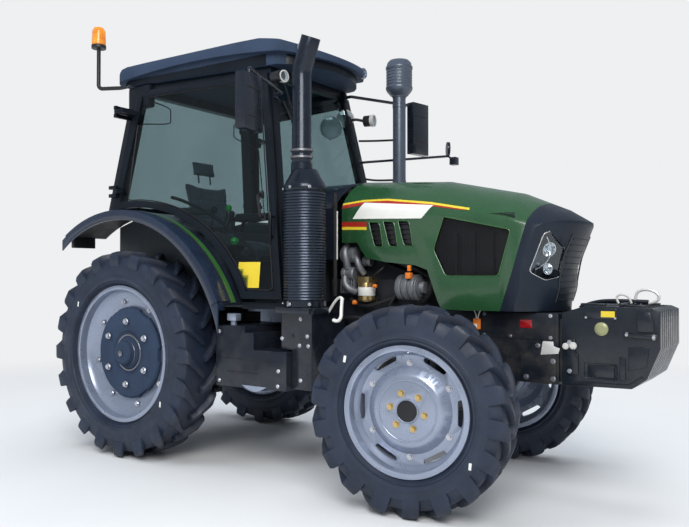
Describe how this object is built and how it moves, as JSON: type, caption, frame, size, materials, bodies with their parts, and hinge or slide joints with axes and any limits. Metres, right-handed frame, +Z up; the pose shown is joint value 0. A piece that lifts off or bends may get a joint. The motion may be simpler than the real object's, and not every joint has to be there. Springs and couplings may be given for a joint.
{
  "type": "farm tractor",
  "caption": "Four-wheel-drive farm tractor with closed cab, front ballast, upright exhaust and rear hitch; wheels turn and steer, hood and doors open, rear links lift.",
  "frame": {"origin": "on the ground, at the middle of the whole tractor's footprint", "axes": "+X forward, +Y to the tractor's left, +Z up"},
  "size_m": [4.197, 2.0976, 3.0183],
  "materials": {
    "green_paint": "glossy green paint",
    "body_black": "satin black",
    "grille_black": "fine black mesh",
    "cab_black": "satin black paint",
    "roof_dark": "dark blue-grey, lighter on top",
    "tinted_glass": "lightly tinted, clear",
    "lamp_clear": "clear lens",
    "amber": "translucent amber",
    "chassis_grey": "painted casting",
    "chassis_black": "black paint",
    "exhaust_black": "heat-proof black",
    "intake_grey": "satin grey-blue",
    "seat_cloth": "dark grey cloth",
    "weight_black": "black enamel",
    "tyre_rubber": "matt, slightly dusty",
    "rim_silver": "silver paint",
    "bare_steel": "worn steel",
    "brass": "brass-coloured plating",
    "lamp_red": "red lamp lens"
  },
  "bodies": {
    "chassis": {"gearbox": "chassis_grey", "engine": "chassis_grey", "front_frame": "chassis_black", "front_axle": "chassis_black", "cowl": "body_black", "cab_frame": "cab_black", "cab_glass": "tinted_glass", "roof": "roof_dark", "fenders": "green_paint", "fender_lips": "body_black", "seat": "seat_cloth", "dash": "cab_black", "muffler": "exhaust_black", "exhaust_pipe": "exhaust_black", "intake_mast": "intake_grey", "fuel_tank": "body_black", "battery_box": "body_black", "left_steps": "body_black", "weights": "weight_black", "weight_carrier": "chassis_black", "fuel_filter": "brass", "alternator": "chassis_grey", "rear_lamps": "lamp_red", "cab_floor": "cab_black", "cab_panels": "cab_black", "mirrors": "body_black", "lamps": "body_black", "beacon": "body_black", "beacon_lens": "amber", "drawbar": "chassis_black", "top_link": "bare_steel"},
    "hood": {"hood": "green_paint", "hood_nose": "body_black", "hood_grilles": "grille_black", "headlamps": "lamp_clear"},
    "lift_arms": {"lift_arms": "chassis_black"},
    "lift_rods": {"lift_rods": "bare_steel"},
    "lower_links": {"lower_links": "chassis_black"},
    "steering_rod": {"steering_rod": "bare_steel"},
    "door_left": {"door_left": "cab_black", "door_glass_left": "tinted_glass"},
    "knuckle_left": {"knuckle_left": "chassis_black"},
    "front_wheel_left": {"front_tyre_left": "tyre_rubber", "front_rim_left": "rim_silver"},
    "rear_wheel_left": {"rear_tyre_left": "tyre_rubber", "rear_rim_left": "rim_silver", "rear_wheel_plate_left": "weight_black"},
    "door_right": {"door_right": "cab_black", "door_glass_right": "tinted_glass"},
    "knuckle_right": {"knuckle_right": "chassis_black"},
    "front_wheel_right": {"front_tyre_right": "tyre_rubber", "front_rim_right": "rim_silver"},
    "rear_wheel_right": {"rear_tyre_right": "tyre_rubber", "rear_rim_right": "rim_silver", "rear_wheel_plate_right": "weight_black"}
  },
  "joints": [
    {"name": "hood_lift", "type": "hinge", "parent": "chassis", "child": "hood", "pos_m": [0.3245, 0, 1.765], "axis": [0, -1, 0], "range_deg": [0, 50]},
    {"name": "door_left_swing", "type": "hinge", "parent": "chassis", "child": "door_left", "pos_m": [-1.3035, 0.74026, 1.78], "axis": [0, 0, 1], "range_deg": [0, 70]},
    {"name": "door_right_swing", "type": "hinge", "parent": "chassis", "child": "door_right", "pos_m": [-1.3035, -0.74026, 1.78], "axis": [0, 0, -1], "range_deg": [0, 70]},
    {"name": "steer_left", "type": "hinge", "parent": "chassis", "child": "knuckle_left", "pos_m": [0.9865, 0.54, 0.528], "axis": [0, 0, 1], "range_deg": [-49.4, 30.6]},
    {"name": "steer_right", "type": "hinge", "parent": "chassis", "child": "knuckle_right", "pos_m": [0.9865, -0.54, 0.528], "axis": [0, 0, 1], "range_deg": [-49.4, 30.6]},
    {"name": "steering_rod_slide", "type": "slide", "parent": "chassis", "child": "steering_rod", "axis": [0, 1, 0], "range_m": [-0.0743, 0.1199]},
    {"name": "front_spin_left", "type": "hinge", "parent": "knuckle_left", "child": "front_wheel_left", "pos_m": [0.9571, 0.71758, 0.528], "axis": [-0.1633, 0.9866, 0], "continuous": true},
    {"name": "front_spin_right", "type": "hinge", "parent": "knuckle_right", "child": "front_wheel_right", "pos_m": [1.0159, -0.71758, 0.528], "axis": [-0.1633, 0.9866, 0], "continuous": true},
    {"name": "rear_spin_left", "type": "hinge", "parent": "chassis", "child": "rear_wheel_left", "pos_m": [-1.1535, 0.695, 0.684], "axis": [0, 1, 0], "continuous": true},
    {"name": "rear_spin_right", "type": "hinge", "parent": "chassis", "child": "rear_wheel_right", "pos_m": [-1.1535, -0.695, 0.684], "axis": [0, 1, 0], "continuous": true},
    {"name": "lift", "type": "hinge", "parent": "chassis", "child": "lift_arms", "pos_m": [-1.3535, 0, 0.935], "axis": [0, 1, 0], "range_deg": [-15.4, 28.2]},
    {"name": "links_swing", "type": "hinge", "parent": "chassis", "child": "lower_links", "pos_m": [-1.2735, 0, 0.43], "axis": [0, 1, 0], "range_deg": [-12.1, 22.1]},
    {"name": "lift_rods_swing", "type": "hinge", "parent": "lift_arms", "child": "lift_rods", "pos_m": [-1.6335, 0, 0.935], "axis": [0, 1, 0], "range_deg": [-28.3, 15.5]}
  ],
  "couplings": [
    {"joint": "steer_right", "follows": "steer_left", "ratio": 1},
    {"joint": "steering_rod_slide", "follows": "steer_left", "m_per_rad": -0.139},
    {"joint": "links_swing", "follows": "lift", "ratio": 0.78},
    {"joint": "lift_rods_swing", "follows": "lift", "ratio": -1}
  ]
}
